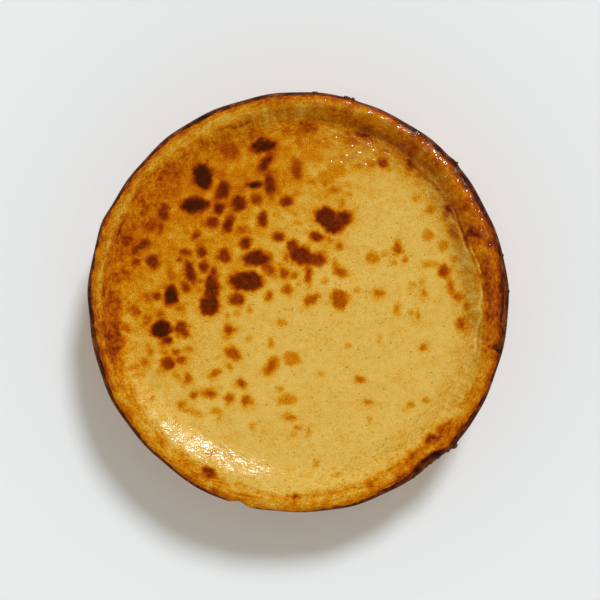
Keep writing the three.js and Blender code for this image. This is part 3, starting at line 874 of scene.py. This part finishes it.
def wetness_of(tree, place, around):
    """How moist the skin is, and where beads of fat stand on it, both 0 to 1."""
    wet_share = attribute(tree, "wet")
    towards_top = tree.node("ShaderNodeSeparateXYZ", {}, {0: place}, output="Y")
    upper_half = step_of(tree, towards_top, -0.02, 0.02)
    moisture = step_of(tree, wet_share, 0.12, 0.75) * (1 - upper_half)
    drops = noise_of(tree, around, 0.9, 1.0) + wet_share * 0.4 - upper_half * 0.04
    beads = step_of(tree, drops, 0.7, 0.8) * step_of(tree, wet_share, 0.05, 0.15)
    beads = beads * (upper_half * 0.7 + 0.3)
    return moisture, beads * (1 - moisture * 0.6)


def bump_of(tree, grain):
    return tree.node("ShaderNodeBump", {}, {"Distance": BUMP_HEIGHT * MM, "Height": grain})


def finish(tree, colour, bump, finish_values):
    inputs = {"Base Color": colour, "Normal": bump, **finish_values}
    return tree.node("ShaderNodeBsdfPrincipled", {}, inputs)


def baked_skin():
    """Browned custard with a charred side, and its dry, moist and beaded finishes."""
    material, tree = new_material("baked_skin")
    place = tree.node("ShaderNodeTexCoord", {}, {}, output="Object")
    around, reach = around_cake(tree, place, 3.0)
    on_rim = step_of(tree, reach, RIM_STARTS, RIM_FULL)
    on_crest = step_of(tree, reach, CREST_STARTS, CREST_FULL)
    fine = noise_of(tree, place, 0.7, 2.0, 0.6)
    drawn = noise_of(tree, around, 0.9, 3.0, 0.6)
    charred = step_of(tree, attribute(tree, "side_skin") + (fine - 0.5) * 0.5, 0.35, 0.65)
    custard = custard_colour(tree, place, fine, drawn, on_rim)
    colour = mix_colour(tree, charred, custard, char_colour(tree, fine, drawn))
    swell = noise_of(tree, place, 2.6, 2.0, 0.5)
    long_swell = noise_of(tree, around, 1.5, 2.0, 0.5)
    grain = fine * (on_rim * 0.5 + 0.8) + swell * 0.5 + long_swell * on_rim * 1.5
    sparkle = noise_of(tree, place, 0.9, 0.0) * (on_crest * 0.25 + 0.4)
    sparkle = sparkle + noise_of(tree, around, 0.9, 0.0) * 0.3
    wet_bump = bump_of(tree, swell * 0.5 + long_swell * 0.3 + sparkle)
    dry = finish(tree, colour, bump_of(tree, grain), DRY)
    moist = finish(tree, colour, wet_bump, MOIST)
    beaded = finish(tree, colour, wet_bump, BEADS)
    moisture, beads = wetness_of(tree, place, around)
    shader = tree.node("ShaderNodeMixShader", {}, {0: moisture, 1: dry, 2: moist})
    shader = tree.node("ShaderNodeMixShader", {}, {0: beads, 1: shader, 2: beaded})
    tree.node("ShaderNodeOutputMaterial", {}, {"Surface": shader})
    return material


cake_mesh.materials.append(baked_skin())
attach(cake, "root")
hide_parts("cheesecake")

# Crumbs: small lumps of batter that spilled over the tin's edge, baked dark
# on it and now stick out of the outline. Each is given by its angle, how far
# out it stands, and its length, width and height.
CRUMB_BELOW_CREST, CRUMB_BULGE, CRUMB_LUMPS = 3.2, 0.5, 3.5
CRUMBS = [
    (76.6, 0.3, 3.4, 1.6, 1.5), (74.9, 0.5, 2.2, 1.8, 1.6), (85.4, 0.2, 3.0, 1.0, 1.2),
    (41.3, 0.3, 1.4, 1.0, 1.2), (12.9, 0.3, 1.6, 1.3, 1.4), (3.0, 0.2, 1.6, 1.0, 1.2),
    (317.4, 0.9, 3.6, 2.4, 2.2), (315.6, 0.2, 4.0, 2.0, 2.0), (312.4, 0.0, 3.6, 1.6, 2.0),
    (303.2, 0.2, 3.4, 1.0, 1.4),
]


def add_crumb(shape, at, out, size, seed):
    """A lump at an angle, standing out from the edge."""
    long, wide, tall = size
    here = np.array([float(at)])
    way = math.radians(at)
    outward = Vector((math.cos(way), math.sin(way), 0))
    sideways = Vector((-math.sin(way), math.cos(way), 0))
    reach = float(edge_radius(here)[0]) + out - wide / 2
    middle = outward * reach + Vector((0, 0, float(rim_at(here, "high")[0]) - CRUMB_BELOW_CREST))
    for vert in bmesh.ops.create_icosphere(shape, subdivisions=3, radius=0.5)["verts"]:
        bulge = 1 + CRUMB_BULGE * noise.noise(vert.co * CRUMB_LUMPS + Vector((seed, 0, 0)))
        spread = vert.co * bulge
        shift = outward * spread.x * wide + sideways * spread.y * long + Vector((0, 0, spread.z * tall))
        vert.co = (middle + shift) * MM


crumb_shape = bmesh.new()
for number, (at, out, *size) in enumerate(CRUMBS):
    add_crumb(crumb_shape, at, out, size, number * 3.7)
crumb_mesh = bpy.data.meshes.new("edge_crumbs")
crumb_shape.to_mesh(crumb_mesh)
crumb_shape.free()
crumb_mesh.shade_smooth()
crumbs = bpy.data.objects.new("edge_crumbs", crumb_mesh)
bpy.context.scene.collection.objects.link(crumbs)


def burnt_crumb():
    material, tree = new_material("burnt_crumb")
    place = tree.node("ShaderNodeTexCoord", {}, {}, output="Object")
    mottle = noise_of(tree, place, 1.0, 3.0, 0.6)
    colour = tree.node("ShaderNodeValToRGB", {"stops": [
        (0.30, srgb(40, 20, 10)),
        (0.55, srgb(78, 36, 14)),
        (0.75, srgb(140, 72, 22)),
    ]}, {0: mottle})
    shader = finish(tree, colour, bump_of(tree, mottle), {"Roughness": 0.4})
    tree.node("ShaderNodeOutputMaterial", {}, {"Surface": shader})
    return material


crumb_mesh.materials.append(burnt_crumb())
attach(crumbs, "root")

# The studio: a wide pale floor, one soft light high at the top and a little to
# the right, a pale surround that is dark overhead, and a camera that looks
# straight down from about a metre.
FLOOR_HALF = 12.0
KEY_AZIMUTH = 67
KEY_ELEVATION = 48
KEY_SPREAD = 13
KEY_STRENGTH = 2.01
SKY_EVEN = 0.16
SKY_LOW = 1.29
SKY_FALL = 1.2
SKY_FROM_LOW_LEFT = 0.15
KEY_COLOUR = (1.0, 1.035, 1.135)
SKY_COLOUR = (1.0, 0.966, 0.862, 1)
CAMERA_HEIGHT = 1.02
CAMERA_LENS = 107.0
CAMERA_OFFSET = (0.98 * MM, 1.3 * MM)

floor_mesh = bpy.data.meshes.new("studio_floor")
corners = [(-1, -1), (1, -1), (1, 1), (-1, 1)]
floor_mesh.from_pydata([(FLOOR_HALF * a, FLOOR_HALF * b, 0) for a, b in corners], [], [(0, 1, 2, 3)])
studio_floor = bpy.data.objects.new("studio_floor", floor_mesh)
bpy.context.scene.collection.objects.link(studio_floor)


def pale_paper():
    material, tree = new_material("pale_paper")
    place = tree.node("ShaderNodeTexCoord", {}, {}, output="Object")
    tone = noise_of(tree, place, 400.0, 1.0)
    colour = mix_colour(tree, tone, (*srgb(232, 236, 236), 1), (*srgb(235, 239, 239), 1))
    shader = tree.node("ShaderNodeBsdfPrincipled", {}, {
        "Base Color": colour,
        "Roughness": 0.85,
        "Specular IOR Level": 0.1,
    })
    tree.node("ShaderNodeOutputMaterial", {}, {"Surface": shader})
    return material


floor_mesh.materials.append(pale_paper())

key_light = bpy.data.lights.new("key", "SUN")
key_light.angle = math.radians(KEY_SPREAD)
key_light.energy = KEY_STRENGTH
key_light.color = KEY_COLOUR
key = bpy.data.objects.new("key", key_light)
key.rotation_euler = (math.radians(90 - KEY_ELEVATION), 0, math.radians(KEY_AZIMUTH + 90))
bpy.context.scene.collection.objects.link(key)

world = bpy.data.worlds.new("surround")
world.use_nodes = True
world.node_tree.nodes.clear()
sky = Socket(world.node_tree)
direction = sky.node("ShaderNodeTexCoord", {}, {}, output="Generated")
upward = sky.node("ShaderNodeSeparateXYZ", {}, {0: direction}, output="Z")
low_glow = sky.math("POWER", sky.math("MAXIMUM", 1 - upward, 0.0), SKY_FALL)
towards_key = upward.other("X") * math.cos(math.radians(KEY_AZIMUTH))
towards_key = towards_key + upward.other("Y") * math.sin(math.radians(KEY_AZIMUTH))
surround = sky.node("ShaderNodeBackground", {}, {
    "Color": SKY_COLOUR,
    "Strength": (low_glow * SKY_LOW + SKY_EVEN) * (1 - towards_key * SKY_FROM_LOW_LEFT),
})
sky.node("ShaderNodeOutputWorld", {}, {"Surface": surround})
bpy.context.scene.world = world
bpy.context.scene.view_settings.view_transform = "Standard"

camera_data = bpy.data.cameras.new("camera")
camera_data.lens = CAMERA_LENS
camera = bpy.data.objects.new("camera", camera_data)
camera.location = (*CAMERA_OFFSET, CAMERA_HEIGHT)
bpy.context.scene.collection.objects.link(camera)
bpy.context.scene.camera = camera
